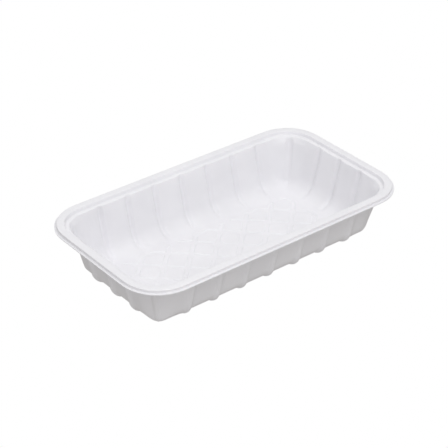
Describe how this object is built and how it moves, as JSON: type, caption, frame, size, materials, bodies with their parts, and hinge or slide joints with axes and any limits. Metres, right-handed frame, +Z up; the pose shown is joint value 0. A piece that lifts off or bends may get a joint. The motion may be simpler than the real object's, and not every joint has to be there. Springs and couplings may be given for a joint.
{
  "type": "plastic meat tray",
  "caption": "Shallow oblong thermoformed tray with a sealing flange, rounded corners, ribbed leaning walls and a floor of lozenge pads between diagonal channels.",
  "frame": {"origin": "middle of the base, on the plane that the tray stands on", "axes": "+X along the tray's length, +Y across its width, +Z up out of the open top"},
  "size_m": [0.23, 0.1292, 0.0413],
  "materials": {
    "tray_plastic": "white polypropylene sheet, satin sheen, the same white right through"
  },
  "bodies": {
    "root": {"tray": "tray_plastic"}
  },
  "joints": []
}
